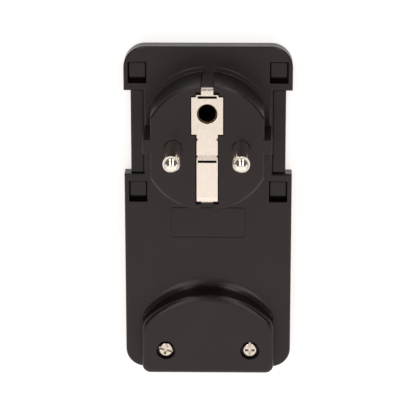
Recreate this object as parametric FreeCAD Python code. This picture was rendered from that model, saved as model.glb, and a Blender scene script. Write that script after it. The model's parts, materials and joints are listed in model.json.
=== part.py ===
"""Flat two-pole mains plug with side earth contacts, earth socket hole and a hood for the cord clamp.

Frame: millimetres. The plug lies on its flat front, Z = 0. The plug axis is the Z axis, the pins point
up (+Z), and the cable end is towards -Y.
"""
import FreeCAD, Part
import math
import os

V = FreeCAD.Vector

# Housing outline and thickness
housing_width = 48.4
top_reach = 25.2           # plug axis to the top edge
bottom_reach = 71.6        # plug axis to the cable end
top_corner_r = 6.2
bottom_corner_r = 5.6
lid_thickness = 1.8
shell_depth = 4.2
plate_wall = 1.5
side_wall = 1.5
chamber_corner_r = 3.0
edge_break = 0.4           # broken outer edges of the shell
lid_edge = 0.6             # broken front edge of the lid
parting_break = 0.2        # small groove where lid and shell meet
fit_clearance = 0.15
cut_margin = 1.0           # cuts run this far past a face

# Finger notches in both sides, with a rail of the lid showing in each
notch_half = 12.35
grip_depth = 1.8
notch_margin = 0.3         # nose to the notch wall
rail_drop = 1.2
rail_clearance = 0.1

# Snap windows beside the notches, with the hooks of the lid inside
window_gap = 2.1           # notch to window
window_width = 5.3
window_height = 6.3
window_rim = 1.3           # window to the side of the housing
hook_side_gap = 0.3
hook_slide = 0.4           # room for the lid to slide on
hook_drop = 1.1
hook_round = 1.9           # rounded lower end
hook_nib_round = 0.6
catch_overlap = 0.7
catch_height = 1.8
catch_clearance = 0.1

# Nose of the plug
nose_radius = 18.25
nose_height = 18.0
nose_wall = 2.2
face_wall = 2.6
nose_break = 0.6           # broken edge of the face
flat_cut = 2.35            # nose radius to a flat
rib_width = 4.0
rib_shift = 0.4            # ribs sit a little above the line of the pins
collar_step = 1.25
collar_height = 0.7
land_half = 4.2
land_wall = 2.0            # plastic behind the side earth contacts

# Contact pins
pin_dia = 4.8
pin_length = 19.0
pin_spacing = 19.0
pin_tip_bands = 3
pin_neck_step = 0.2        # thinner stretch inside the face
flange_r = 3.6
flange_thickness = 3.0
pillar_r = 3.2
terminal_room = 5.2        # lid to the end of the pillar
running_fit = 0.05

# Earth strip, folded from one sheet
strip_thickness = 0.8
strip_proud = 0.15
strip_half = 2.95
strip_gap = 0.3            # strip to the edge of its pocket
plate_half = 4.4
plate_below = 5.9          # earth hole to the ends of the wide plate
plate_above = 4.75
shoulder_rise = 0.65       # wide plate to the shoulders of its upper neck
shoulder_flare = 0.3
neck_half = 1.7
leg_sink = 0.95            # side contacts lie this far inside the nose
low_leg_sink = 1.95
bend_r = 0.9
low_bend_r = 2.25
foot_length = 2.2
step_start = -1.8
step_length = 1.4
step_rise = 0.25
slot_half = 2.65           # slots across the strip, over the plate and at its step
slot_height = 0.7
step_slot_gap = 0.1
relief_height = 0.8        # open corners of the pocket beside the necks
relief_depth = 1.0
nick_depth = 0.3
nick_height = 0.6
nick_above = 2.65
nick_below = -2.2

# Earth socket behind the strip
socket_offset = 10.0
socket_hole_r = 2.85
socket_bore_r = 2.5
socket_wall = 0.8
socket_depth = 15.5
socket_slot = 0.7
socket_slot_foot = 1.2
socket_room = 0.6          # free room round the sleeve
lug_thickness = 1.8
lug_half = 3.6
earth_terminal_y = -6.0

# Carrier plate that keeps the pins in the nose
carrier_thickness = 2.4
carrier_clearance = 0.2
carrier_end = 0.7          # hole of a pin to the end of the carrier
carrier_post_x = 7.4       # posts of the lid that hold the carrier down
carrier_post_y = -6.4
carrier_post_half = 1.3

# Hood for the cord clamp
hood_inset = 5.0           # side of the housing to the hood
hood_height = 6.0
hood_length = 27.9         # cable end to the foot of the arch
hood_arch_r = 22.5
hood_slope = 5.6           # from the foot of the arch to the edge of its top
hood_arch_gain = 2.5       # the arch is flatter at the top
hood_shoulder_r = 5.0
hood_foot_r = 3.0
hood_crest_r = 2.2
hood_edge_r = 1.3
hood_corner_r = 2.2
hood_roof = 1.8
hood_wall = 1.5
hood_steps = 4

# Lid screws in the hood
lid_screw_side = 6.9       # side of the hood to a screw
lid_screw_end = 7.25       # cable end to a screw
lid_screw_recess = 0.45
lid_screw_ring = 0.7       # head to the wall of its recess
lid_screw_end_gap = 2.8    # point of the screw to the end of its hole
lid_screw_turn = {"left": -15, "right": 90}
screw_seat = 1.6
shell_boss_half = 3.7
lid_boss_half = 2.9
boss_floor = 0.8

# Cable entry and cord clamp
entry_r = 3.4
entry_height = 6.7
entry_tube_wall = 0.8
entry_tube_length = 4.0
clamp_end = 14.6           # cable end to the clamp
clamp_length = 5.2
clamp_thickness = 1.6
clamp_cradle_wall = 1.3
clamp_post_half = 2.4
clamp_post_gap = 1.2
clamp_post_foot = 5.0

# Plain marking frame on the plate
frame_half = 10.9
frame_top = 22.2
frame_height = 9.3
frame_line = 0.35
frame_depth = 0.15

# Locating ribs and wire ribs of the lid
lid_rib_width = 1.2
lid_rib_height = 1.2
wire_rib_x = 7.5
wire_rib_width = 1.0
wire_rib_height = 1.6
wire_rib_length = 20.0

# Screws: thread radius, head radius and head height
lid_screw = {"thread": 1.42, "head": 2.1, "height": 1.9}
small_screw = {"thread": 1.2, "head": 2.1, "height": 1.3}
terminal_screw = {"thread": 1.7, "head": 2.5, "height": 1.8}
terminal_depth = 5.0
thread_clearance = 0.03
hole_clearance = 0.2
slot_width = 0.7
slot_depth = 0.8
cross_arm = 1.4            # half length of the short slot of a lid screw
terminal_slack = 0.6       # screw heads stand this far off, ready for a wire

# Levels and lines that follow
half_width = housing_width / 2
plate_z = lid_thickness + shell_depth
face_z = plate_z + nose_height
floor_z = face_z - face_wall
collar_z = plate_z + collar_height
chamber_z = plate_z - plate_wall
hood_z = plate_z + hood_height
roof_z = hood_z - hood_roof
notch_x = nose_radius + notch_margin
lid_notch_x = half_width - grip_depth
window_centre = notch_half + window_gap + window_height / 2
window_out = half_width - window_rim
window_in = window_out - window_width
chamber_half = window_in - side_wall
lower_chamber_top = -(window_centre + window_height / 2 + side_wall)
strip_top = face_z + strip_proud
strip_floor = strip_top - strip_thickness
flat_half = nose_radius - flat_cut
collar_radius = nose_radius + collar_step
leg_foot_z = collar_z
leg_reach = nose_radius - leg_sink
leg_in = leg_reach - strip_thickness
low_leg_reach = nose_radius - low_leg_sink
low_leg_in = low_leg_reach - strip_thickness
strip_raised = strip_top + step_rise
plate_low = socket_offset - plate_below
plate_high = socket_offset + plate_above
shoulder_y = plate_high + shoulder_rise
pin_r = pin_dia / 2
pin_neck_r = pin_r - pin_neck_step
flange_z = floor_z - flange_thickness
carrier_z = flange_z - carrier_thickness
carrier_half = pin_spacing / 2 + pillar_r + running_fit + carrier_end
carrier_low = carrier_post_y - carrier_post_half
pillar_z = lid_thickness + terminal_room
socket_r = socket_bore_r + socket_wall
socket_room_r = socket_r + socket_room
carrier_high = socket_offset - socket_room_r
socket_z = strip_floor - socket_depth
lug_z = socket_z - lug_thickness
hood_half = half_width - hood_inset
hood_crown = bottom_reach - hood_length
lid_screw_x = hood_half - lid_screw_side
lid_screw_y = bottom_reach - lid_screw_end
clamp_x = entry_r + clamp_cradle_wall + clamp_post_gap + clamp_post_half
clamp_y = bottom_reach - clamp_end
seat_z = hood_z - lid_screw_recess - lid_screw["height"]
seam_z = seat_z - screw_seat
sides = {"left": -1, "right": 1}
same_point = 1e-6


def box(x0, x1, y0, y1, z0, z1):
    return Part.makeBox(x1 - x0, y1 - y0, z1 - z0, V(x0, y0, z0))


def rod(radius, z0, z1, x=0.0, y=0.0):
    return Part.makeCylinder(radius, z1 - z0, V(x, y, z0))


def post(half, z0, z1, x, y):
    """Square post."""
    return box(x - half, x + half, y - half, y + half, z0, z1)


def prism(wire, direction):
    return Part.Face(wire).extrude(direction)


def turned(profile):
    """Solid of revolution about Z from (radius, height) points."""
    points = [V(r, 0, z) for r, z in profile]
    wire = Part.makePolygon(points + points[:1])
    return Part.Face(wire).revolve(V(0, 0, 0), V(0, 0, 1), 360)


def rounded(corners, place):
    """Closed outline with rounded corners; place turns (u, v) into a point."""
    starts = []
    ends = []
    edges = []
    count = len(corners)
    for i, (u, v, r) in enumerate(corners):
        here = V(u, v, 0)
        before = V(*corners[i - 1][:2], 0) - here
        after = V(*corners[(i + 1) % count][:2], 0) - here
        before.normalize()
        after.normalize()
        half = before.getAngle(after) / 2
        setback = r / math.tan(half)
        start = here + before * setback
        end = here + after * setback
        starts.append(start)
        ends.append(end)
        if r > 0:
            middle = before + after
            middle.normalize()
            middle = here + middle * (r / math.sin(half) - r)
            arc = Part.Arc(place(start.x, start.y), place(middle.x, middle.y), place(end.x, end.y))
            edges.append(arc.toShape())
    for i in range(count):
        end = ends[i]
        start = starts[(i + 1) % count]
        if end.distanceToPoint(start) > same_point:
            edges.append(Part.makeLine(place(end.x, end.y), place(start.x, start.y)))
    return Part.Wire(Part.__sortEdges__(edges))


def quarter_inset(r):
    """How far the middle of a quarter round lies inside both its sides."""
    return r * (1 - math.sqrt(0.5))


def flat_at(z):
    return lambda x, y: V(x, y, z)


def across_at(x):
    return lambda y, z: V(x, y, z)


def housing_outline(inset, notch, z):
    """Outline of the housing, drawn in by inset, with a notch in each side."""
    w = half_width - inset
    top = top_reach - inset
    low = -(bottom_reach - inset)
    n = notch_half + inset
    x = notch - inset
    low_r = bottom_corner_r - inset
    top_r = top_corner_r - inset
    right = [(w, low, low_r), (w, -n, 0), (x, -n, 0), (x, n, 0), (w, n, 0), (w, top, top_r)]
    left = [(-u, v, r) for u, v, r in reversed(right)]
    return rounded(right + left, flat_at(z))


def housing_slab(levels, notch):
    """Slab through (height, inset) levels."""
    wires = [housing_outline(inset, notch, z) for z, inset in levels]
    return Part.makeLoft(wires, True, True)


def hood_section(inward, rise):
    """Outline of the hood where its arch has moved in by inward and stands rise above the plate."""
    share = inward / hood_slope
    over = max(0.0, rise - (hood_height - hood_edge_r))
    edge = hood_edge_r - math.sqrt(max(0.0, hood_edge_r ** 2 - over ** 2))
    half = hood_half - edge
    low = -bottom_reach + edge
    return arched_outline(half, low, -hood_crown - inward, hood_arch_r + hood_arch_gain * share,
                          plate_z + rise)


def arched_outline(half, low, crown, arch_r, z):
    """Straight sides and foot under a round arch, with rounded shoulders and corners."""
    arch_y = crown - arch_r
    r = hood_shoulder_r
    c = hood_corner_r
    shoulder_x = half - r
    shoulder_y = arch_y + math.sqrt((arch_r - r) ** 2 - shoulder_x ** 2)
    turn = math.atan2(shoulder_y - arch_y, shoulder_x)
    touch = (arch_r * math.cos(turn), arch_y + arch_r * math.sin(turn))
    bend = (shoulder_x + r * math.cos(turn / 2), shoulder_y + r * math.sin(turn / 2))
    quarter = quarter_inset(c)
    edges = [Part.makeLine(V(-half + c, low, z), V(half - c, low, z)),
             Part.Arc(V(-touch[0], touch[1], z), V(0, crown, z), V(*touch, z)).toShape()]
    for s in sides.values():
        corner = Part.Arc(V(s * (half - c), low, z), V(s * (half - quarter), low + quarter, z),
                          V(s * half, low + c, z))
        shoulder = Part.Arc(V(s * half, shoulder_y, z), V(s * bend[0], bend[1], z),
                            V(s * touch[0], touch[1], z))
        edges += [corner.toShape(), shoulder.toShape()]
        edges.append(Part.makeLine(V(s * half, low + c, z), V(s * half, shoulder_y, z)))
    return Part.Wire(Part.__sortEdges__(edges))


def hood_profile():
    """Hollow foot, slope and rounded top edge of the arch, as (inward, rise) steps."""
    angles = [math.pi / 2 * i / hood_steps for i in range(hood_steps + 1)]
    foot = [(hood_foot_r * math.sin(a), hood_foot_r * (1 - math.cos(a))) for a in angles]
    edge = [(hood_slope - hood_crest_r * math.cos(a), hood_height - hood_crest_r * (1 - math.sin(a)))
            for a in angles]
    return foot + edge


def hood():
    root = hood_section(0.0, 0.0)
    root.translate(V(0, 0, -plate_wall))
    return Part.makeLoft([root] + [hood_section(*step) for step in hood_profile()], True, True)


def hood_hollow():
    crown = -hood_crown - hood_slope - hood_wall
    wire = arched_outline(hood_half - hood_edge_r - hood_wall, -bottom_reach + side_wall,
                          crown, hood_arch_r + hood_arch_gain - hood_wall, lid_thickness)
    return prism(wire, V(0, 0, roof_z - lid_thickness))


def edged_slab(half, low, high, reach, chamfer):
    """Slab between -half and half in X with broken top edges, reaching far both ways in Y."""
    corners = [(-half, low), (half, low), (half, high - chamfer), (half - chamfer, high),
               (chamfer - half, high), (-half, high - chamfer)]
    points = [V(x, -reach, z) for x, z in corners]
    return prism(Part.makePolygon(points + points[:1]), V(0, 2 * reach, 0))


def nose():
    """Round nose with two flats, a guide rib on each flat and a collar at its foot."""
    far = collar_radius + nose_radius
    barrel = turned([(0, chamber_z), (nose_radius, chamber_z), (nose_radius, face_z - nose_break),
                     (nose_radius - nose_break, face_z), (0, face_z)])
    body = barrel.common(edged_slab(flat_half, chamber_z, face_z, far, edge_break))
    rib_low = rib_shift - rib_width / 2
    rib = barrel.common(box(-far, far, rib_low, rib_low + rib_width, collar_z, face_z))
    collar = rod(collar_radius, chamber_z, collar_z)
    collar = collar.common(edged_slab(notch_x - edge_break, chamber_z, collar_z, far, edge_break))
    return body.fuse([rib, collar])


def nose_hollow():
    inner = nose_radius - nose_wall
    hollow = rod(inner, lid_thickness, floor_z)
    flat = flat_half - nose_wall
    hollow = hollow.common(box(-flat, flat, -inner, inner, lid_thickness, floor_z))
    land_z = socket_z + fit_clearance
    lands = [box(-land_half, land_half, leg_in - land_wall, inner + cut_margin, land_z, floor_z),
             box(-land_half, land_half, -inner - cut_margin, land_wall - low_leg_in, land_z, floor_z)]
    gap = carrier_clearance
    rooms = [rod(socket_room_r, lid_thickness, floor_z, 0, socket_offset),
             box(-carrier_half - gap, carrier_half + gap, carrier_low - gap, carrier_high + gap,
                 lid_thickness, floor_z)]
    return hollow.cut(lands).fuse(rooms)


def strip_plan(neck_gap, gap, low, high):
    """Prism over the plan of the strip, drawn out by a gap at its necks and one along its other edges."""
    reach = leg_reach + nose_radius
    neck = neck_half + neck_gap
    strip = strip_half + gap
    plate = plate_half + gap
    right = [(neck, -reach), (neck, -shoulder_y - gap), (strip, -shoulder_y - gap), (strip, plate_low - gap),
             (plate, plate_low - gap), (plate, plate_high + gap), (strip + shoulder_flare, plate_high + gap),
             (strip, shoulder_y + gap), (neck, shoulder_y + gap), (neck, reach)]
    left = [(-x, y) for x, y in reversed(right)]
    points = [V(x, y, low) for x, y in right + left]
    return prism(Part.makePolygon(points + points[:1]), V(0, 0, high - low))


def strip_slots(low, high):
    """Rooms of the two slots across the strip: between plate and upper neck, and below the step."""
    slots = []
    step_end = step_start - step_length - step_slot_gap
    for top in (shoulder_y - shoulder_rise / 2, step_end):
        slots.append(box(-slot_half, slot_half, top - slot_height, top, low, high))
    return slots


def strip_pocket():
    """Room for the strip in the face and down both sides of the nose."""
    far = nose_radius * 2
    top = strip_raised + cut_margin
    room = strip_plan(fit_clearance, strip_gap, leg_foot_z, top)
    core = rounded([(-low_leg_in, 0, 0), (leg_in, 0, 0), (leg_in, strip_floor, bend_r - strip_thickness),
                    (-low_leg_in, strip_floor, low_bend_r - strip_thickness)], across_at(-far))
    pocket = room.cut(prism(core, V(2 * far, 0, 0)))
    foot_half = neck_half + fit_clearance
    foot_top = leg_foot_z + strip_thickness + fit_clearance
    rooms = [box(-foot_half, foot_half, -low_leg_reach, leg_reach, leg_foot_z, foot_top)]
    rooms += strip_slots(strip_floor - relief_depth, top)
    half = strip_half + strip_gap
    for y in (shoulder_y, -shoulder_y - relief_height):
        rooms.append(box(-half, half, y, y + relief_height, strip_floor - relief_depth, top))
    return pocket.fuse(rooms)


def window_cuts():
    """Four snap windows; a catch stays standing at the upper end of each."""
    cuts = []
    catch_z = lid_thickness + catch_height
    for s in sides.values():
        x0, x1 = sorted((s * window_in, s * window_out))
        for middle in (window_centre, -window_centre):
            low = middle - window_height / 2
            high = middle + window_height / 2
            cuts.append(box(x0, x1, low, high, catch_z, plate_z))
            cuts.append(box(x0, x1, low, high - catch_overlap, 0, catch_z))
    return cuts


def marking_frame():
    low = -frame_top - frame_height
    z0 = plate_z - frame_depth
    outer = box(-frame_half, frame_half, low, -frame_top, z0, plate_z)
    inner = box(-frame_half + frame_line, frame_half - frame_line, low + frame_line,
                -frame_top - frame_line, z0, plate_z)
    return outer.cut(inner)


def cable_bore(radius, y0, y1):
    return Part.makeCylinder(radius, y1 - y0, V(0, y0, entry_height), V(0, 1, 0))


def rear_shell():
    slab = housing_slab([(lid_thickness, 0), (plate_z - edge_break, 0), (plate_z, edge_break)], notch_x)
    shell = slab.fuse([nose(), hood()])
    top = top_reach - side_wall
    low = -bottom_reach + side_wall
    half = half_width - side_wall
    r = chamber_corner_r
    upper = box(-chamber_half, chamber_half, lower_chamber_top, top, lid_thickness, chamber_z)
    lower = prism(rounded([(-half, low, r), (half, low, r), (half, lower_chamber_top, 0),
                           (-half, lower_chamber_top, 0)], flat_at(lid_thickness)),
                  V(0, 0, chamber_z - lid_thickness))
    shell = shell.cut([upper, lower, nose_hollow(), hood_hollow()])

    tube_end = low + entry_tube_length
    gate = entry_r + entry_tube_wall
    posts = [box(-gate, gate, low - side_wall / 2, tube_end, entry_height - gate, roof_z + hood_roof / 2)]
    holes = [cable_bore(entry_r, -bottom_reach - cut_margin, tube_end + cut_margin)]
    holes += [strip_pocket(), marking_frame()]
    holes.append(rod(socket_r + running_fit, floor_z, strip_floor, 0, socket_offset))
    for s in sides.values():
        posts.append(post(shell_boss_half, seam_z, roof_z + hood_roof / 2, s * lid_screw_x, -lid_screw_y))
        posts.append(post(clamp_post_half, clamp_post_foot, roof_z + hood_roof / 2, s * clamp_x, -clamp_y))
        holes.append(rod(lid_screw["thread"] + hole_clearance, 0, hood_z, s * lid_screw_x, -lid_screw_y))
        holes.append(rod(lid_screw["head"] + lid_screw_ring, seat_z, hood_z, s * lid_screw_x, -lid_screw_y))
        holes.append(rod(small_screw["thread"] + thread_clearance, 0, roof_z, s * clamp_x, -clamp_y))
        holes.append(rod(pin_r + running_fit, floor_z, face_z, s * pin_spacing / 2))
    return shell.fuse(posts).cut(holes + window_cuts()).removeSplitter()


def hook(side, middle):
    """Snap hook of the lid; its nib reaches over the catch at the upper end of the window."""
    x0, x1 = sorted((side * (window_in + hook_side_gap), side * (window_out - hook_side_gap)))
    low = middle - window_height / 2 + hook_slide
    high = middle + window_height / 2
    stem_high = high - catch_overlap - catch_clearance
    top = plate_z - hook_drop
    nib_z = lid_thickness + catch_height + catch_clearance
    root = lid_thickness / 2
    side_view = rounded([(low, root, 0), (stem_high, root, 0), (stem_high, nib_z, 0),
                         (high - catch_clearance, nib_z, 0), (high - catch_clearance, top, hook_nib_round),
                         (low, top, hook_round)], across_at(x0))
    return prism(side_view, V(x1 - x0, 0, 0))


def lid_ribs(s):
    """Locating ribs along one side and half of the end of the lower chamber, open at the cable entry."""
    out = half_width - side_wall - fit_clearance
    low = -bottom_reach + side_wall + fit_clearance
    gate = entry_r + entry_tube_wall + fit_clearance
    top = lid_thickness + lid_rib_height
    x0, x1 = sorted((s * (out - lid_rib_width), s * out))
    x2, x3 = sorted((s * gate, s * (out - chamber_corner_r)))
    return [box(x0, x1, low + chamber_corner_r, lower_chamber_top - fit_clearance, lid_thickness / 2, top),
            box(x2, x3, low, low + lid_rib_width, lid_thickness / 2, top)]


def front_lid():
    lid = housing_slab([(0, lid_edge), (lid_edge, 0), (lid_thickness - parting_break, 0),
                        (lid_thickness, parting_break)], lid_notch_x)
    adds = []
    cuts = []
    rail_y = notch_half - fit_clearance
    rib_low = lower_chamber_top - wire_rib_length
    for s in sides.values():
        x0, x1 = sorted((s * (notch_x + rail_clearance), s * (lid_notch_x - parting_break)))
        adds.append(box(x0, x1, -rail_y, rail_y, lid_thickness / 2, plate_z - rail_drop))
        adds += [hook(s, window_centre), hook(s, -window_centre)] + lid_ribs(s)
        adds.append(post(lid_boss_half, lid_thickness / 2, seam_z, s * lid_screw_x, -lid_screw_y))
        adds.append(post(carrier_post_half, lid_thickness / 2, carrier_z, s * carrier_post_x, carrier_post_y))
        rib_x = s * wire_rib_x
        adds.append(box(rib_x - wire_rib_width / 2, rib_x + wire_rib_width / 2, rib_low,
                        rib_low + wire_rib_length, lid_thickness / 2, lid_thickness + wire_rib_height))
        cuts.append(rod(lid_screw["thread"] + thread_clearance, boss_floor, seam_z, s * lid_screw_x,
                        -lid_screw_y))
    return lid.fuse(adds).cut(cuts).removeSplitter()


def contact_pin(s):
    """Turned pin with a rounded tip, a flange inside the face and a threaded end for its terminal screw."""
    tip = face_z + pin_length
    angles = [math.pi / 2 * i / pin_tip_bands for i in range(pin_tip_bands)]
    rounding = [(pin_r * math.cos(a), tip - pin_r * (1 - math.sin(a))) for a in angles]
    pin = turned([(0, pillar_z), (pillar_r, pillar_z), (pillar_r, flange_z), (flange_r, flange_z),
                  (flange_r, floor_z), (pin_neck_r, floor_z), (pin_neck_r, face_z), (pin_r, face_z)]
                 + rounding + [(0, tip)])
    pin = pin.cut(rod(terminal_screw["thread"] + thread_clearance, pillar_z, pillar_z + terminal_depth))
    pin.translate(V(s * pin_spacing / 2, 0, 0))
    return pin


def earth_strip():
    """Folded strip: flat over the face, with a small step, two slots and a leg down each side of the nose."""
    t = strip_thickness
    step_end = step_start - step_length
    foot = leg_reach - foot_length
    low_foot = low_leg_reach - foot_length
    low = leg_foot_z
    section = rounded([
        (foot, low, 0), (leg_reach, low, 0), (leg_reach, strip_top, bend_r), (step_start, strip_top, 0),
        (step_end, strip_raised, 0), (-low_leg_reach, strip_raised, low_bend_r), (-low_leg_reach, low, 0),
        (-low_foot, low, 0), (-low_foot, low + t, 0), (-low_leg_in, low + t, 0),
        (-low_leg_in, strip_raised - t, low_bend_r - t), (step_end, strip_raised - t, 0),
        (step_start, strip_floor, 0), (leg_in, strip_floor, bend_r - t), (leg_in, low + t, 0),
        (foot, low + t, 0)], across_at(-plate_half))
    sheet = prism(section, V(2 * plate_half, 0, 0))
    plan_low = strip_floor - relief_depth
    top = strip_raised + cut_margin
    legs = box(-neck_half, neck_half, -low_leg_reach, leg_reach, 0, plan_low)
    sheet = sheet.common(strip_plan(0.0, 0.0, plan_low, top).fuse(legs))
    cuts = strip_slots(plan_low, top) + [rod(socket_hole_r, strip_floor, strip_top, 0, socket_offset)]
    inner = strip_half - nick_depth
    for s in sides.values():
        x0, x1 = sorted((s * inner, s * (strip_half + cut_margin)))
        for y in (nick_above, nick_below):
            cuts.append(box(x0, x1, y - nick_height / 2, y + nick_height / 2, plan_low, top))
    return sheet.cut(cuts)


def earth_socket():
    """Slotted sleeve between the strip and the earth lug."""
    sleeve = rod(socket_r, socket_z, strip_floor).cut(rod(socket_bore_r, socket_z, strip_floor))
    reach = socket_r + cut_margin
    slot = box(-socket_slot / 2, socket_slot / 2, -reach, reach, socket_z + socket_slot_foot, carrier_z)
    sleeve = sleeve.cut(slot)
    sleeve.translate(V(0, socket_offset, 0))
    return sleeve


def earth_lug():
    """Strap under the sleeve with a threaded hole for the earth terminal screw."""
    low = earth_terminal_y - lug_half
    high = socket_offset + lug_half
    strap = box(-lug_half, lug_half, low, high, lug_z, socket_z)
    return strap.cut(rod(terminal_screw["thread"] + thread_clearance, lug_z, socket_z, 0, earth_terminal_y))


def terminal_carrier():
    """Bar across the nose that keeps the flanges of the pins against the face."""
    bar = box(-carrier_half, carrier_half, carrier_low, carrier_high, carrier_z, flange_z)
    holes = [rod(pillar_r + running_fit, carrier_z, flange_z, s * pin_spacing / 2) for s in sides.values()]
    return bar.cut(holes)


def cord_clamp():
    """Saddle with a cradle for the cord, screwed under two posts of the hood."""
    low = clamp_post_foot - clamp_thickness
    reach = clamp_x + clamp_post_half
    y0 = -clamp_y - clamp_length / 2
    bar = box(-reach, reach, y0, y0 + clamp_length, low, clamp_post_foot)
    outer = cable_bore(entry_r + clamp_cradle_wall, y0, y0 + clamp_length)
    outer = outer.common(box(-reach, reach, y0, y0 + clamp_length, 0, clamp_post_foot))
    holes = [cable_bore(entry_r, y0, y0 + clamp_length)]
    for s in sides.values():
        holes.append(rod(small_screw["thread"] + hole_clearance, low, clamp_post_foot, s * clamp_x, -clamp_y))
    return bar.fuse(outer).cut(holes).removeSplitter()


def screw(kind, length):
    """Slotted screw with its thread along +Z above Z = 0 and its head below."""
    head = kind["head"]
    height = kind["height"]
    thread = kind["thread"]
    body = turned([(0, -height), (head, -height), (head, 0), (thread, 0), (thread, length), (0, length)])
    return body.cut(box(-head, head, -slot_width / 2, slot_width / 2, -height, slot_depth - height))


def placed(shape, x, y, z):
    shape.translate(V(x, y, z))
    return shape


def lid_screw_at(name):
    """Lid screw, with a short slot across the long one."""
    height = lid_screw["height"]
    cross = box(-slot_width / 2, slot_width / 2, -cross_arm, cross_arm, -height, slot_depth - height)
    body = screw(lid_screw, seat_z - boss_floor - lid_screw_end_gap).cut(cross)
    body.rotate(V(0, 0, 0), V(1, 0, 0), 180)
    body.rotate(V(0, 0, 0), V(0, 0, 1), lid_screw_turn[name])
    return placed(body, sides[name] * lid_screw_x, -lid_screw_y, seat_z)


def clamp_screw_at(s):
    low = clamp_post_foot - clamp_thickness
    return placed(screw(small_screw, roof_z - low - thread_clearance), s * clamp_x, -clamp_y, low)


def terminal_screw_at(x, y, z):
    return placed(screw(terminal_screw, terminal_depth), x, y, z - terminal_slack)


pieces = {
    "rear_shell": rear_shell(),
    "front_lid": front_lid(),
    "earth_strip": earth_strip(),
    "earth_socket": earth_socket(),
    "earth_lug": earth_lug(),
    "terminal_carrier": terminal_carrier(),
    "cord_clamp": cord_clamp(),
    "terminal_screw_earth": terminal_screw_at(0, earth_terminal_y, lug_z),
}
for name, s in sides.items():
    pieces["contact_pin_" + name] = contact_pin(s)
    pieces["terminal_screw_" + name] = terminal_screw_at(s * pin_spacing / 2, 0, pillar_z)
    pieces["clamp_screw_" + name] = clamp_screw_at(s)
    pieces["lid_screw_" + name] = lid_screw_at(name)

os.makedirs("parts", exist_ok=True)
for name, shape in pieces.items():
    print(name, len(shape.Solids), "solid", shape.isValid(), round(shape.Volume, 1))
    shape.exportStep("parts/" + name + ".step")
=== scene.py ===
# %% [markdown]
# A flat mains plug that can be wired by hand: a thin housing with a round nose, two pins, an earth strip
# folded over the nose and a hood over the cord clamp. The solids come ready made from the CAD step. This
# lesson dresses them: it sets the camera and the light, builds the finishes from shader nodes, and turns
# the pins and the screws again with finer forms.

# %% Load the solids
import json
import math

import bmesh
import bpy
from mathutils import Matrix, Vector


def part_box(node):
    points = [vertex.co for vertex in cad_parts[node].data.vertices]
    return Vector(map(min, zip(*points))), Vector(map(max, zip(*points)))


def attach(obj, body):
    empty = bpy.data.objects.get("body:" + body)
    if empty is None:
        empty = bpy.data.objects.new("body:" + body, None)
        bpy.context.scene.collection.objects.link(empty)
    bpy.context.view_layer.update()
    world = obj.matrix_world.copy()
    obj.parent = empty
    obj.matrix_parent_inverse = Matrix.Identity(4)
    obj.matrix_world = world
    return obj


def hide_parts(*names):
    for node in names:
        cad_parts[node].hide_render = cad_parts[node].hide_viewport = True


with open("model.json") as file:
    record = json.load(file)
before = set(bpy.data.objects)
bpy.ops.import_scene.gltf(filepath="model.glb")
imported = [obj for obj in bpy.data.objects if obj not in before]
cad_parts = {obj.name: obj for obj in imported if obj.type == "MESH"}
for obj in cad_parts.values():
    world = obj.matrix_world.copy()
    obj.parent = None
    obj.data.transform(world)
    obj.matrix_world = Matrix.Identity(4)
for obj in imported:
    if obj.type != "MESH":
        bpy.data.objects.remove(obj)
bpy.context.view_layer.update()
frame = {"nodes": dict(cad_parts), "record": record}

mm = 0.001
nodes = frame["nodes"]
scene = bpy.context.scene
scene.view_settings.view_transform = "Standard"
print("pieces from CAD:", len(nodes))

# %% [markdown]
# The plug lies on its flat front with the pins up, and the camera looks down on it from its top end. A long
# lens far away keeps the pins from spreading. The camera could be aimed with a constraint, but three written
# axes give the same view each time and leave nothing to solve.

# %% Camera
view_target = Vector((0.23, -17.25, 24.0)) * mm
view_back = Vector((0.01389, 0.28334, 0.95892)).normalized()
view_distance = 600 * mm
view_up = (Vector((0, 1, 0)) - view_back * view_back.y).normalized()
view_right = view_up.cross(view_back)
camera_data = bpy.data.cameras.new("camera")
camera_data.lens = 184.5
camera_data.sensor_width = 36.0
camera_data.clip_start = 0.01
camera = bpy.data.objects.new("camera", camera_data)
axes = Matrix((view_right, view_up, view_back)).transposed()
camera.matrix_world = Matrix.Translation(view_target + view_back * view_distance) @ axes.to_4x4()
scene.collection.objects.link(camera)
scene.camera = camera
print("camera at", [round(v, 4) for v in camera.location])

# %% [markdown]
# Black plastic shows hardly any colour of its own, so nearly all that is seen of it is the soft light it
# mirrors. Flat faces mirror a soft box that hangs a little to the cable side of the plug. Three more stand
# lower round that side and draw the edges that face the cable, and a small one overhead lights the slanted
# faces of the earth strip. Two strips beside the camera and two panes under them give the pins their double
# glints. The rest of the room stays dim, so faces that turn to the top end fall off to black.

# %% Lamps and world
lamp_distance = 0.9
warm_white = (1.0, 0.92, 0.87)
room_strength = 0.15


def soft_lamp(name, sideways, tilt, width, height, radiance):
    """Flat lamp aimed at the plug, with angles in degrees. Tilt goes from overhead towards the top end."""
    turn = Matrix.Rotation(-math.radians(tilt), 3, "X")
    out = turn @ Vector((math.sin(math.radians(sideways)), 0, math.cos(math.radians(sideways))))
    along = turn @ Vector((0, 1, 0))
    data = bpy.data.lights.new(name, "AREA")
    data.shape = "RECTANGLE"
    data.size = 2 * lamp_distance * math.tan(math.radians(width / 2))
    data.size_y = 2 * lamp_distance * math.tan(math.radians(height / 2))
    data.color = warm_white
    data.energy = radiance * math.pi * data.size * data.size_y
    lamp = bpy.data.objects.new(name, data)
    turned = Matrix((along.cross(out), along, out)).transposed()
    lamp.matrix_world = Matrix.Translation(out * lamp_distance) @ turned.to_4x4()
    scene.collection.objects.link(lamp)
    return lamp


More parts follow.
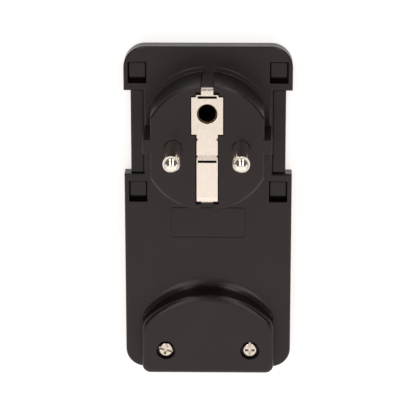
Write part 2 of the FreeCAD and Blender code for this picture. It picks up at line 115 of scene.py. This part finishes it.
# Each row: name, sideways, tilt, width, height, radiance.
lamps = [soft_lamp(*row) for row in (
    ("soft_box_above", 0, -25, 90, 30, 1.22),
    ("soft_box_bridge", 0, 0, 14, 16, 0.8),
    ("soft_box_cable_side", 0, -64, 90, 52, 1.2),
    ("soft_box_left", -62, -64, 50, 52, 1.0),
    ("soft_box_right", 62, -64, 50, 52, 1.0),
    ("strip_left", -17, 24, 16, 52, 3.2),
    ("strip_right", 22, 24, 16, 52, 3.2),
    ("pane_left", -17, 74, 16, 24, 3.8),
    ("pane_right", 22, 74, 16, 24, 3.8),
)]
world = bpy.data.worlds.new("studio")
world.use_nodes = True
dim_room = world.node_tree.nodes["Background"].inputs
dim_room["Color"].default_value = (*warm_white, 1)
dim_room["Strength"].default_value = room_strength
scene.world = world
print("lamps:", [lamp.name for lamp in lamps])

# %% [markdown]
# A finish in Blender is a graph of shader nodes. It can be drawn in the node editor, but a graph that is
# written down can be read, compared and used again. A few helpers keep the writing short: one makes a node
# with its settings, and each input takes either a plain value or a link from another node.

# %% Helpers for shader nodes
def new_material(name):
    """Empty node material with its output, as a pair of the material and its node tree."""
    material = bpy.data.materials.new(name)
    material.use_nodes = True
    material.node_tree.nodes.clear()
    material.node_tree.nodes.new("ShaderNodeOutputMaterial")
    return material, material.node_tree


def fill(tree, made, values):
    """Set the inputs of a node by socket name, each with a plain value or with a link."""
    for key, value in values.items():
        if isinstance(value, bpy.types.NodeSocket):
            tree.links.new(value, made.inputs[key])
        else:
            made.inputs[key].default_value = value
    return made


def node(tree, kind, values=None, **settings):
    """New node of a kind with its settings and inputs."""
    made = tree.nodes.new("ShaderNode" + kind)
    for key, value in settings.items():
        setattr(made, key, value)
    return fill(tree, made, values or {})


def maths(tree, operation, a, b=0.0):
    """Output of one math operation on two numbers or sockets."""
    return node(tree, "Math", {0: a, 1: b}, operation=operation).outputs[0]


def ramp(tree, value, start, end, low=0.0, high=1.0):
    """Number that goes from low to high while the value goes from start to end."""
    limits = {"From Min": start, "From Max": end, "To Min": low, "To Max": high}
    return node(tree, "MapRange", {"Value": value, **limits}).outputs["Result"]


def surface(tree, shader):
    """Join a shader to the output of its material."""
    tree.links.new(shader.outputs[0], tree.nodes["Material Output"].inputs["Surface"])


print("helpers:", [helper.__name__ for helper in (new_material, fill, node, maths, ramp, surface)])

# %% [markdown]
# The plug lies on white paper. What the camera and mirror rays see of the sheet close to the plug is lifted
# to white, and further out the lift fades, so the paper turns to a pale grey. The plain part under the lift
# still darkens where the plug keeps light off it, which leaves a soft shadow.

# %% Floor
paper_colour = (0.44, 0.47, 0.49, 1)
lift_colour = (1.0, 0.955, 0.935, 1)
lift_near, lift_far = 0.68, 0.12
sheet_middle = (0, -0.024, 0)
fade_start, fade_end = 0.09, 0.16
reach = 3.0

paper, tree = new_material("pale_paper")
path = node(tree, "LightPath").outputs
seen = maths(tree, "MAXIMUM", path["Is Camera Ray"], path["Is Glossy Ray"])
seen = maths(tree, "MAXIMUM", seen, path["Is Transmission Ray"])
place = node(tree, "NewGeometry").outputs["Position"]
distance = node(tree, "VectorMath", {0: place, 1: sheet_middle}, operation="DISTANCE").outputs["Value"]
near = ramp(tree, distance, fade_start, fade_end, lift_near, lift_far)
sheet = node(tree, "BsdfDiffuse", {"Color": paper_colour})
lift = node(tree, "Emission", {"Color": lift_colour, "Strength": maths(tree, "MULTIPLY", seen, near)})
surface(tree, node(tree, "AddShader", {0: sheet.outputs[0], 1: lift.outputs[0]}))

corners = [(-reach, -reach, 0), (reach, -reach, 0), (reach, reach, 0), (-reach, reach, 0)]
mesh = bpy.data.meshes.new("floor")
mesh.from_pydata(corners, [], [(0, 1, 2, 3)])
mesh.materials.append(paper)
floor = bpy.data.objects.new("floor", mesh)
scene.collection.objects.link(floor)
print("floor of", 2 * reach, "m")

# %% [markdown]
# Real edges are never sharp: a mould and a press tool both leave a small round that catches light. Rounding
# every edge in the mesh would be heavy, so the shader bends the normal close to an edge instead. The same
# bend also tells how close the edge is, which later places wear and painted edge highlights.

# %% Group: rounded edges
edge_samples = 8
bend_none, bend_full = 0.995, 0.88


def new_group(name, inputs, outputs):
    """Empty node group with named sockets, as its tree, its inputs and a function that sets an output."""
    group = bpy.data.node_groups.new(name, "ShaderNodeTree")
    for label, kind, value in inputs:
        socket = group.interface.new_socket(label, in_out="INPUT", socket_type="NodeSocket" + kind)
        socket.default_value = value
    for label, kind in outputs:
        group.interface.new_socket(label, in_out="OUTPUT", socket_type="NodeSocket" + kind)
    source = group.nodes.new("NodeGroupInput")
    sink = group.nodes.new("NodeGroupOutput")

    def put_out(label, socket):
        group.links.new(socket, sink.inputs[label])

    return group, source.outputs, put_out


def placed_group(tree, group, values):
    """Outputs of a group that is placed in a material with its own values."""
    return fill(tree, node(tree, "Group", node_tree=group), values).outputs


rounded_edges, given, put_out = new_group(
    "Rounded edges", [("Radius", "Float", 0.3 * mm)], [("Normal", "Vector"), ("Edge", "Float")])
bent = node(rounded_edges, "Bevel", {"Radius": given["Radius"]}, samples=edge_samples).outputs[0]
straight = node(rounded_edges, "NewGeometry").outputs["Normal"]
agree = node(rounded_edges, "VectorMath", {0: bent, 1: straight}, operation="DOT_PRODUCT").outputs["Value"]
put_out("Normal", bent)
put_out("Edge", ramp(rounded_edges, agree, bend_none, bend_full))
print("group:", rounded_edges.name)

# %% [markdown]
# Grease, dust and a tarnished skin stay where a cloth or a finger can't reach, and little light gets out of
# such places. The shader can ask how much of the sky a point sees. That share is one in the open and close to
# nothing deep in a hole. The metals use it to paint their hollows darker, partly as that skin and partly as
# painted shade.

# %% Group: hollows
sky_samples = 8
hollows, given, put_out = new_group("Hollows", [("Reach", "Float", 2 * mm)], [("Open", "Float")])
sky = node(hollows, "AmbientOcclusion", {"Distance": given["Reach"]}, samples=sky_samples).outputs["AO"]
put_out("Open", sky)
print("group:", hollows.name)

# %% [markdown]
# A mould for plastic housings is spark eroded, which prints a fine even grain on the piece. Two scales of
# noise give it: the grain itself and slow clouds where the mould is more or less worn.

# %% Group: moulded grain
noise_low, noise_high, noise_break = 0.25, 0.75, 0.6
moulded_grain, given, put_out = new_group(
    "Moulded grain", [("Grain size", "Float", 0.25 * mm), ("Cloud size", "Float", 9 * mm)],
    [("Grain", "Float"), ("Cloud", "Float")])
where = node(moulded_grain, "TexCoord").outputs["Object"]
for label, size, detail in (("Grain", "Grain size", 2.0), ("Cloud", "Cloud size", 4.0)):
    scale = maths(moulded_grain, "DIVIDE", 1.0, given[size])
    noise = node(moulded_grain, "TexNoise",
                 {"Vector": where, "Scale": scale, "Detail": detail, "Roughness": noise_break})
    put_out(label, ramp(moulded_grain, noise.outputs["Fac"], noise_low, noise_high))
print("group:", moulded_grain.name)

# %% [markdown]
# Handling leaves fine scratches that mostly follow one direction, such as the way a pin slides into a socket
# or the way sheet metal was rolled. Noise that is stretched along that way and cut off high leaves thin
# broken lines.

# %% Group: fine scratches
line_detail, line_break = 3.0, 0.65
cut_off_few, cut_off_many, cut_off_soft = 0.8, 0.5, 0.08
fine_scratches, given, put_out = new_group(
    "Fine scratches",
    [("Stretch", "Vector", (1.0, 1.0, 1.0)), ("Width", "Float", 0.2 * mm), ("Amount", "Float", 0.4)],
    [("Lines", "Float"), ("Scratch", "Float")])
where = node(fine_scratches, "TexCoord").outputs["Object"]
pulled = node(fine_scratches, "VectorMath", {0: where, 1: given["Stretch"]}, operation="MULTIPLY").outputs[0]
scale = maths(fine_scratches, "DIVIDE", 1.0, given["Width"])
noise = node(fine_scratches, "TexNoise",
             {"Vector": pulled, "Scale": scale, "Detail": line_detail, "Roughness": line_break})
start = ramp(fine_scratches, given["Amount"], 0.0, 1.0, cut_off_few, cut_off_many)
end = maths(fine_scratches, "ADD", start, cut_off_soft)
put_out("Lines", noise.outputs["Fac"])
put_out("Scratch", ramp(fine_scratches, noise.outputs["Fac"], start, end))
print("group:", fine_scratches.name)

# %% [markdown]
# A few grains of dust lie on any plug that has been handled. Each cell of a cell texture holds one point,
# and a point becomes a speck only where the cell's random colour is high, so the specks stay rare and uneven.

# %% Group: dust specks
rare_start, rare_full = 0.7, 0.9
dust_specks, given, put_out = new_group(
    "Dust specks", [("Spacing", "Float", 3 * mm), ("Size", "Float", 0.05)], [("Speck", "Float")])
where = node(dust_specks, "TexCoord").outputs["Object"]
scale = maths(dust_specks, "DIVIDE", 1.0, given["Spacing"])
cells = node(dust_specks, "TexVoronoi", {"Vector": where, "Scale": scale}).outputs
chance = node(dust_specks, "SeparateColor", {0: cells["Color"]}).outputs[0]
rare = ramp(dust_specks, chance, rare_start, rare_full)
close = ramp(dust_specks, cells["Distance"], given["Size"], 0.0)
put_out("Speck", maths(dust_specks, "MULTIPLY", close, rare))
print("group:", dust_specks.name)

# %% [markdown]
# A plug wears on the faces that slide along the socket, and those stand upright. The less the normal of a
# face points up, the more upright the face stands, so one mask serves sheet, pins and screws alike.

# %% Group: standing faces
standing_faces, given, put_out = new_group(
    "Standing faces", [("Lean", "Float", 0.4), ("Upright", "Float", 0.1)], [("Standing", "Float")])
face = node(standing_faces, "NewGeometry").outputs["Normal"]
rise = node(standing_faces, "SeparateXYZ", {0: face}).outputs["Z"]
put_out("Standing", ramp(standing_faces, rise, given["Lean"], given["Upright"]))
print("group:", standing_faces.name)

# %% [markdown]
# The arch of the hood rises from the plate in a hollow round and runs into its top in a smaller one. The
# solid holds it as a few flat bands. Finer bands would cost triangles in every use of the part, and how far
# a round leans at a point follows from the height alone. So the lean is worked out from the height above the
# plate, and only the way that it leans is taken from the bands. The side walls of the hood keep their own
# normal.

# %% Group: hood arch
hood_foot, hood_top = 6 * mm, 12 * mm
foot_round, crest_round, steepest = 3.0 * mm, 2.2 * mm, 0.3
arch_half, arch_low, arch_high = 20 * mm, -60 * mm, -43 * mm
to_nose_start, to_nose_full = 0.2, 0.5
flat_start, flat_full = 0.99, 0.999

hood_arch, given, put_out = new_group(
    "Hood arch", [("Normal", "Vector", (0.0, 0.0, 1.0))], [("Normal", "Vector"), ("Arch", "Float")])
spot = node(hood_arch, "SeparateXYZ", {0: node(hood_arch, "TexCoord").outputs["Object"]}).outputs
face = node(hood_arch, "NewGeometry").outputs["Normal"]
level = node(hood_arch, "VectorMath", {0: face, 1: (1, 1, 0)}, operation="MULTIPLY").outputs[0]
way = node(hood_arch, "VectorMath", {0: level}, operation="NORMALIZE").outputs[0]
foot_up = ramp(hood_arch, spot["Z"], hood_foot, hood_foot + foot_round, 1.0, 0.0)
crest_up = ramp(hood_arch, spot["Z"], hood_top, hood_top - crest_round, 1.0, 0.0)
up = maths(hood_arch, "MAXIMUM", maths(hood_arch, "MAXIMUM", foot_up, crest_up), steepest)
out = maths(hood_arch, "SQRT", maths(hood_arch, "SUBTRACT", 1.0, maths(hood_arch, "MULTIPLY", up, up)))
lean = node(hood_arch, "VectorMath", {0: way, "Scale": out}, operation="SCALE").outputs[0]
rise = node(hood_arch, "CombineXYZ", {"Z": up}).outputs[0]
swept = node(hood_arch, "VectorMath", {0: lean, 1: rise}, operation="ADD").outputs[0]

within_sides = maths(hood_arch, "LESS_THAN", maths(hood_arch, "ABSOLUTE", spot["X"]), arch_half)
past_low = maths(hood_arch, "GREATER_THAN", spot["Y"], arch_low)
before_high = maths(hood_arch, "LESS_THAN", spot["Y"], arch_high)
inside = maths(hood_arch, "MULTIPLY", within_sides, maths(hood_arch, "MULTIPLY", past_low, before_high))
way_y = node(hood_arch, "SeparateXYZ", {0: way}).outputs["Y"]
face_z = node(hood_arch, "SeparateXYZ", {0: face}).outputs["Z"]
to_nose = ramp(hood_arch, way_y, to_nose_start, to_nose_full)
flat = ramp(hood_arch, face_z, flat_start, flat_full)
part = maths(hood_arch, "MULTIPLY", inside, maths(hood_arch, "MAXIMUM", to_nose, flat))
both = node(hood_arch, "Mix", data_type="VECTOR")
for socket, value in (("Factor", part), ("A", given["Normal"]), ("B", swept)):
    hood_arch.links.new(value, both.inputs[socket])
put_out("Normal", both.outputs["Result"])
put_out("Arch", maths(hood_arch, "MULTIPLY", inside, to_nose))
print("group:", hood_arch.name)

# %% [markdown]
# Black satin plastic, the only finish that shows on the housing. Its own colour is a brown black of less than
# one part in a hundred, and the grain breaks up what it mirrors. Edges that hands rub are a little smoother,
# and they are painted paler: partly wear, partly a painted highlight along the edge. The arch of the hood,
# where the thumb rests when the plug is pulled, is only smoother. The carrier of the terminals and the cord
# clamp inside are moulded in the same way from a pale grey.

# %% Finish: plastics
edge_wear_and_highlight_tone, edge_wear_and_highlight_times, dust_tone, dust_colour = 0.6, 3, 0.5, (0.2, 0.18, 0.17)
cloud_rough, arch_rough, rub_rough, scratch_rough, dust_rough = 0.04, -0.07, -0.06, -0.05, 0.3
grain_bump, grain_depth, plastic_ior = 0.12, 0.015 * mm, 1.4


def tone(tree, factor, first, second):
    """Colour from the first to the second by a factor that changes over the surface."""
    mix = node(tree, "Mix", data_type="RGBA")
    for socket, value in (("Factor", factor), ("A", first), ("B", second)):
        if isinstance(value, bpy.types.NodeSocket):
            tree.links.new(value, mix.inputs[socket])
        else:
            mix.inputs[socket].default_value = (*value, 1)
    return mix.outputs["Result"]


def moulded_plastic(name, dark, light, rough, edge_radius):
    """Moulded plastic with grain, clouds, scratches, dust, and edges painted paler as wear and as a painted
    highlight.
    """
    material, tree = new_material(name)
    edges = placed_group(tree, rounded_edges, {"Radius": edge_radius})
    arch = placed_group(tree, hood_arch, {"Normal": edges["Normal"]})
    grain = placed_group(tree, moulded_grain, {"Grain size": 0.22 * mm, "Cloud size": 8 * mm})
    marks = placed_group(
        tree, fine_scratches, {"Stretch": (1.0, 0.05, 0.3), "Width": 0.25 * mm, "Amount": 0.45})
    dust = placed_group(tree, dust_specks, {"Spacing": 3.5 * mm, "Size": 0.045})
    colour = tone(tree, grain["Cloud"], dark, light)
    rubbed_and_highlit = maths(tree, "MULTIPLY", edges["Edge"], maths(tree, "SUBTRACT", 1.0, arch["Arch"]))
    # Edges are painted paler: partly wear from hands, partly a painted highlight.
    colour = tone(tree, maths(tree, "MULTIPLY", rubbed_and_highlit, edge_wear_and_highlight_tone), colour, [edge_wear_and_highlight_times * c for c in light])
    colour = tone(tree, maths(tree, "MULTIPLY", dust["Speck"], dust_tone), colour, dust_colour)
    roughness = ramp(tree, grain["Cloud"], 0.0, 1.0, rough + cloud_rough, rough - cloud_rough)
    changes = ((arch["Arch"], arch_rough), (rubbed_and_highlit, rub_rough), (marks["Scratch"], scratch_rough),
               (dust["Speck"], dust_rough))
    for mask, change in changes:
        roughness = maths(tree, "ADD", roughness, maths(tree, "MULTIPLY", mask, change))
    bump = node(tree, "Bump", {"Height": grain["Grain"], "Normal": arch["Normal"],
                               "Strength": grain_bump, "Distance": grain_depth})
    surface(tree, node(tree, "BsdfPrincipled", {"Base Color": colour, "Roughness": roughness,
                                                "Normal": bump.outputs[0], "IOR": plastic_ior}))
    return material


finishes = {
    "housing_plastic": moulded_plastic(
        "housing_plastic", dark=(0.0066, 0.003, 0.0038), light=(0.0086, 0.0045, 0.0052), rough=0.36,
        edge_radius=0.35 * mm),
    "carrier_plastic": moulded_plastic(
        "carrier_plastic", dark=(0.2, 0.19, 0.18), light=(0.3, 0.29, 0.275), rough=0.5,
        edge_radius=0.15 * mm),
}
print("finishes:", sorted(finishes))

# %% [markdown]
# Metals: nickel on the earth strip and the pins, unplated brass behind them, zinc on the screws. All are the
# same kind of surface with other colours: fine lines from rolling or turning, clouds of thinner plating,
# edges painted lighter as a painted highlight, and dull dark metal in the hollows, which is partly a
# tarnished skin that no contact rubs away and partly painted shade. In the brass the hollows are painted
# nearly black, which is mostly painted shade. The clips of a socket slide along the legs of the earth strip
# and polish them, so its standing faces are smoother than its flat ones. On the pins it is the other way
# round: the tight springs of a socket scuff the shanks, and the tips keep their polish.

# %% Finish: metals
# Edges of metal are painted lighter as a painted highlight, and hollows darker, partly as a tarnished skin
# and partly as painted shade.
painted_edge_highlight, hollow_fade, hollow_rough = 0.6, 0.45, 0.3
line_low, line_high, line_swing, scratch_dull = 0.3, 0.7, 0.2, 0.08
line_bump, line_depth = 0.05, 0.005 * mm


def worked_metal(name, dark, light, tarnish_and_shade, rough, wall_share, stretch, line_width, edge_radius,
                 hollow_reach, clean_unshaded_open):
    """Plated or unplated metal with lines along one way, clouds in its tone, edges painted lighter as a
    highlight, and hollows painted darker, partly as tarnished skin and partly as shade.
    """
    material, tree = new_material(name)
    edges = placed_group(tree, rounded_edges, {"Radius": edge_radius})
    grain = placed_group(tree, moulded_grain, {"Grain size": 0.12 * mm, "Cloud size": 4 * mm})
    marks = placed_group(tree, fine_scratches, {"Stretch": stretch, "Width": line_width, "Amount": 0.5})
    hollow = placed_group(tree, hollows, {"Reach": hollow_reach})
    walls = placed_group(tree, standing_faces, {"Lean": 0.4, "Upright": 0.1})
    clean_and_unshaded = ramp(tree, hollow["Open"], clean_unshaded_open - hollow_fade, clean_unshaded_open)
    colour = tone(tree, grain["Cloud"], dark, light)
    # Edges are painted towards the light tone: a painted highlight.
    colour = tone(tree, maths(tree, "MULTIPLY", edges["Edge"], painted_edge_highlight), colour, light)
    # Hollows are painted dark: partly a tarnished skin, partly painted shade.
    colour = tone(tree, clean_and_unshaded, tarnish_and_shade, colour)
    roughness = ramp(
        tree, marks["Lines"], line_low, line_high, (1 - line_swing) * rough, (1 + line_swing) * rough)
    share = ramp(tree, walls["Standing"], 0.0, 1.0, 1.0, wall_share)
    roughness = maths(tree, "MULTIPLY", roughness, share)
    roughness = maths(tree, "ADD", roughness, maths(tree, "MULTIPLY", marks["Scratch"], scratch_dull))
    roughness = maths(tree, "ADD", roughness, ramp(tree, clean_and_unshaded, 0.0, 1.0, hollow_rough, 0.0))
    bump = node(tree, "Bump", {"Height": marks["Lines"], "Normal": edges["Normal"],
                               "Strength": line_bump, "Distance": line_depth})
    surface(tree, node(tree, "BsdfPrincipled", {"Base Color": colour, "Roughness": roughness,
                                                "Metallic": 1.0, "Normal": bump.outputs[0]}))
    return material


finishes["earth_sheet"] = worked_metal(
    "earth_sheet", dark=(0.71, 0.665, 0.605), light=(0.76, 0.71, 0.645), tarnish_and_shade=(0.2, 0.18, 0.15),
    rough=0.26, wall_share=0.6, stretch=(1.0, 0.04, 0.04), line_width=0.15 * mm, edge_radius=0.15 * mm,
    hollow_reach=1.0 * mm, clean_unshaded_open=0.6)
finishes["pin_nickel"] = worked_metal(
    "pin_nickel", dark=(0.72, 0.67, 0.6), light=(0.8, 0.75, 0.68), tarnish_and_shade=(0.2, 0.18, 0.15),
    rough=0.06, wall_share=2.0, stretch=(1.0, 1.0, 0.03), line_width=0.2 * mm, edge_radius=0.1 * mm,
    hollow_reach=1.0 * mm, clean_unshaded_open=0.6)
# The near black that the brass takes in its hollows is painted shade, which keeps its bores dark.
finishes["contact_brass"] = worked_metal(
    "contact_brass", dark=(0.55, 0.4, 0.17), light=(0.74, 0.57, 0.29), tarnish_and_shade=(0.02, 0.014, 0.008),
    rough=0.3, wall_share=1.0, stretch=(0.06, 0.06, 1.0), line_width=0.12 * mm, edge_radius=0.1 * mm,
    hollow_reach=6.0 * mm, clean_unshaded_open=0.95)
finishes["screw_steel"] = worked_metal(
    "screw_steel", dark=(0.52, 0.48, 0.42), light=(0.68, 0.64, 0.57), tarnish_and_shade=(0.16, 0.12, 0.08),
    rough=0.24, wall_share=1.0, stretch=(0.08, 1.0, 1.0), line_width=0.12 * mm, edge_radius=0.08 * mm,
    hollow_reach=0.9 * mm, clean_unshaded_open=0.6)
print("finishes:", sorted(finishes))

# %% [markdown]
# Each CAD piece takes the finish that the record names for it. The meshes stay as they came; only their
# material slots are filled.

# %% Finishes on the CAD pieces
finish_of = {part["node"]: part["material_slot"] for part in frame["record"]["subparts"]}
for name, piece in nodes.items():
    for holder in piece.material_slots:
        holder.material = finishes[finish_of[name]]
print({name: finish_of[name] for name in sorted(nodes)})

# %% [markdown]
# Pins are turned on a lathe, and screws are round in the same way. They could be joined from cylinders and
# spheres, but a line of points that is swept round an axis, as the tool of a lathe does it, gives one
# closed skin with every step and round in it. A new piece then takes the finish of the CAD piece that it
# stands for, and rides on the plug's one body.

# %% Lathe
pin_facets = 72
sharp_degrees = 32


def lathe(name, profile, steps):
    """Closed turned piece from (radius, height) points in mm, first and last on the axis."""
    bm = bmesh.new()
    rings = []
    for radius, height in profile:
        turns = [2 * math.pi * i / steps for i in range(steps if radius else 1)]
        rings.append([bm.verts.new(Vector((radius * math.cos(t), radius * math.sin(t), height)) * mm)
                      for t in turns])
    for low, high in zip(rings[:-1], rings[1:]):
        for i in range(steps):
            j = (i + 1) % steps
            corners = [low[i % len(low)], low[j % len(low)], high[j % len(high)], high[i % len(high)]]
            bm.faces.new(list(dict.fromkeys(corners)))
    bmesh.ops.recalc_face_normals(bm, faces=bm.faces)
    mesh = bpy.data.meshes.new(name)
    bm.to_mesh(mesh)
    bm.free()
    piece = bpy.data.objects.new(name, mesh)
    scene.collection.objects.link(piece)
    return piece


def dress(piece, replaced):
    """Smooth a new piece, give it the finish of the CAD piece it stands for, and put it on the body."""
    piece.data.shade_smooth()
    piece.data.set_sharp_from_angle(angle=math.radians(sharp_degrees))
    piece.data.materials.clear()
    piece.data.materials.append(finishes[finish_of[replaced]])
    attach(piece, "root")
    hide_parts(replaced)
    print(piece.name, len(piece.data.polygons), "faces")


def middle(node_name):
    """Middle of a CAD piece's box in X and Y."""
    low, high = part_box(node_name)
    return (low + high) * Vector((0.5, 0.5, 0))


print("pins are turned with", pin_facets, "facets")

# %% [markdown]
# The CAD solids hold the tips of the pins as three bands, enough for a fit. Here the pins get the same sizes
# and a smooth round tip. A small break is left on each corner, as a careful turner leaves it.

# %% Pins
pin_r, tip_z, tip_steps = 2.4, 43.0, 16
bore_r, bore_top = 1.73, 12.0
barrel_r, barrel_low, barrel_break = 3.2, 7.0, 0.15
flange_r, flange_low, flange_top, flange_break = 3.6, 18.4, 21.4, 0.1
neck_r, face_top = 2.2, 24.0

bore = [(0, bore_top), (bore_r, bore_top), (bore_r, barrel_low)]
barrel = [(barrel_r - barrel_break, barrel_low), (barrel_r, barrel_low + barrel_break),
          (barrel_r, flange_low)]
flange = [(flange_r - flange_break, flange_low), (flange_r, flange_low + flange_break),
          (flange_r, flange_top - flange_break), (flange_r - flange_break, flange_top)]
neck = [(neck_r, flange_top), (neck_r, face_top), (pin_r, face_top)]
quarter = [math.pi / 2 * i / tip_steps for i in range(tip_steps)]
tip = [(pin_r * math.cos(a), tip_z - pin_r * (1 - math.sin(a))) for a in quarter] + [(0, tip_z)]
for side in ("left", "right"):
    pin = lathe("turned_pin_" + side, bore + barrel + flange + neck + tip, pin_facets)
    pin.location = middle("contact_pin_" + side)
    dress(pin, "contact_pin_" + side)

# %% [markdown]
# A screw has a rolled thread and a rounded head, which the plain solids lack. The thread could be a helix
# that is swept along the rod. A rod with many rings, whose points are drawn in along a helix, looks the same
# at this size and stays one closed skin.

# %% Screw body
thread_pitch, thread_depth, point_break = 0.7, 0.22, 0.5
rows_per_turn, screw_facets, skin = 8, 48, 0.01
head_round, rim_steps, seat_break = 0.25, 6, 0.1


def screw(name, head_r, head_height, thread_r, length):
    """Threaded screw in mm with its seat at height 0, its rounded head above and its thread below."""
    edge = head_round * head_r
    rows = int((length - point_break) / thread_pitch * rows_per_turn)
    rod = [(thread_r, (length - point_break) * (i / rows - 1)) for i in range(rows)]
    arc = [math.pi / 2 * i / rim_steps for i in range(rim_steps + 1)]
    rim = [(head_r - edge * (1 - math.cos(a)), head_height - edge * (1 - math.sin(a))) for a in arc]
    profile = [(0, -length), (thread_r - point_break, -length)] + rod
    profile += [(thread_r, 0), (head_r - seat_break, 0), (head_r, seat_break)] + rim + [(0, head_height)]
    piece = lathe(name, profile, screw_facets)
    for vertex in piece.data.vertices:
        x, y, z = vertex.co / mm
        if z < -thread_depth and math.hypot(x, y) > thread_r - skin:
            turn = (z / thread_pitch - math.atan2(y, x) / (2 * math.pi)) % 1
            inward = 1 - thread_depth * (1 - abs(2 * turn - 1)) / thread_r
            vertex.co.x *= inward
            vertex.co.y *= inward
    return piece


print("thread: pitch", thread_pitch, "mm, depth", thread_depth, "mm")

# %% [markdown]
# The head has a recess with crisp walls. It could be drawn in the mesh of the head, but on the real screw a
# punch drives it into a finished head, and a boolean does the same.

# %% Screw recess
slot_half, slot_depth, cross_arm, clear = 0.35, 0.8, 1.4, 0.1


def cut(piece, half_x, half_y, bottom, top):
    """Cut a box out of a piece, given in mm by its half lengths in X and Y, its bottom and its top."""
    bm = bmesh.new()
    bmesh.ops.create_cube(bm, size=1)
    for vertex in bm.verts:
        x, y, z = vertex.co
        vertex.co = Vector((x * 2 * half_x, y * 2 * half_y, bottom + (z + 0.5) * (top - bottom))) * mm
    mesh = bpy.data.meshes.new("cutter")
    bm.to_mesh(mesh)
    bm.free()
    cutter = bpy.data.objects.new("cutter", mesh)
    scene.collection.objects.link(cutter)
    step = piece.modifiers.new("cut", "BOOLEAN")
    step.object = cutter
    step.solver = "EXACT"
    bpy.context.view_layer.update()
    result = piece.evaluated_get(bpy.context.evaluated_depsgraph_get())
    shape = bpy.data.meshes.new_from_object(result)
    piece.modifiers.clear()
    piece.data = shape
    bpy.data.objects.remove(cutter)


print("slot:", 2 * slot_half, "mm wide,", slot_depth, "mm deep")

# %% [markdown]
# The two lid screws show in the hood, so each gets a cross and the turn at which its driver stopped. The
# others sit inside with their heads down and have a plain slot. Their lengths come from the CAD boxes, so a
# screw stays true to the solid that it replaces.

# %% Screws in place
head_down = Matrix.Rotation(math.pi, 4, "X")
left_stop, right_stop = (Matrix.Rotation(math.radians(degrees), 4, "Z") for degrees in (-15, 90))

# Each row: CAD pieces, sizes (head radius, head height, thread radius), turn, arm of the cross.
screw_kinds = [
    (("lid_screw_left",), (2.1, 1.9, 1.42), left_stop, cross_arm),
    (("lid_screw_right",), (2.1, 1.9, 1.42), right_stop, cross_arm),
    (("terminal_screw_left", "terminal_screw_right", "terminal_screw_earth"), (2.5, 1.8, 1.7), head_down, 0),
    (("clamp_screw_left", "clamp_screw_right"), (2.1, 1.3, 1.2), head_down, 0),
]
for names, (head_r, head_height, thread_r), turn, arm in screw_kinds:
    for name in names:
        low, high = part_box(name)
        length = (high.z - low.z) / mm - head_height
        piece = screw("threaded_" + name, head_r, head_height, thread_r, length)
        bottom, top = head_height - slot_depth, head_height + clear
        cut(piece, head_r + clear, slot_half, bottom, top)
        if arm:
            cut(piece, slot_half, arm, bottom, top)
        head_up = turn.to_3x3().col[2].z > 0
        seat = high.z - head_height * mm if head_up else low.z + head_height * mm
        piece.matrix_world = Matrix.Translation(middle(name) + Vector((0, 0, seat))) @ turn
        dress(piece, name)
